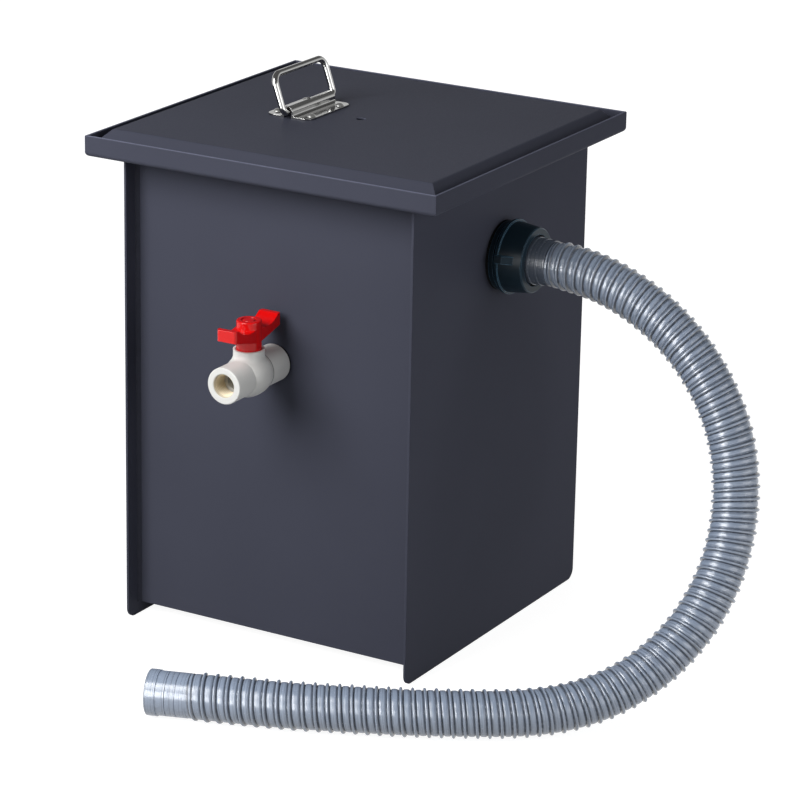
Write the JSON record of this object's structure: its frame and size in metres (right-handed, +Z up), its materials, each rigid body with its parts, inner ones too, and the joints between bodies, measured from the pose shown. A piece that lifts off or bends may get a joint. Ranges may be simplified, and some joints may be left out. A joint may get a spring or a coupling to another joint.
{
  "type": "grease trap",
  "caption": "Free-standing sheet-steel grease trap with a lift-off lid, an inner strainer basket and baffles, a ball drain valve at the front and a ribbed drain hose at the side.",
  "frame": {"origin": "on the ground, under the middle of the box round the trap without its hose", "axes": "+Z up, the drain valve faces -Y, the hose leaves on +X and the inlet is on -X"},
  "size_m": [0.5585, 0.4874, 0.4675],
  "materials": {
    "tank_paint": "satin blue-grey powder coat",
    "stainless": "bright drawn stainless",
    "white_plastic": "moulded, semi-gloss",
    "red_plastic": "moulded, semi-gloss",
    "black_plastic": "moulded, satin",
    "hose_plastic": "glossy grey, ribbed",
    "black_rubber": "matt",
    "seat_plastic": "smooth, waxy"
  },
  "bodies": {
    "tank": {"left_side_plate": "tank_paint", "right_side_plate": "tank_paint", "front_panel": "tank_paint", "rear_panel": "tank_paint", "floor_plate": "tank_paint", "weld_beads": "tank_paint", "rim_tray": "tank_paint", "lid_gasket": "black_rubber", "lid": "tank_paint", "handle_saddle": "stainless", "handle_rivets": "stainless", "inlet_baffle": "tank_paint", "outlet_weir": "tank_paint", "basket_rails": "tank_paint", "strainer_basket": "stainless", "basket_floor": "stainless", "basket_handle": "stainless", "valve_body": "white_plastic", "valve_end": "white_plastic", "valve_seats": "seat_plastic", "valve_nipple": "white_plastic", "nipple_washers": "black_rubber", "nipple_locknut": "white_plastic", "outlet_spigot": "black_plastic", "outlet_washers": "black_rubber", "outlet_locknut": "black_plastic", "hose_nut": "black_plastic", "hose_seal": "black_rubber", "hose_cuff": "hose_plastic", "drain_hose": "hose_plastic", "hose_end_cuff": "hose_plastic", "inlet_spigot": "black_plastic", "inlet_washers": "black_rubber", "inlet_locknut": "black_plastic"},
    "bail": {"handle_bail": "stainless"},
    "valve_turn": {"valve_handle": "red_plastic", "valve_stem": "white_plastic", "valve_ball": "white_plastic", "stem_o_ring": "black_rubber"}
  },
  "joints": [
    {"name": "bail_swing", "type": "hinge", "parent": "tank", "child": "bail", "pos_m": [-0.052, 0.025, 0.4335], "axis": [0, 1, 0], "range_deg": [-73, 111]},
    {"name": "valve_quarter_turn", "type": "hinge", "parent": "tank", "child": "valve_turn", "pos_m": [0, -0.148, 0.2515], "axis": [0, 0, 1], "range_deg": [-90, 0]}
  ]
}
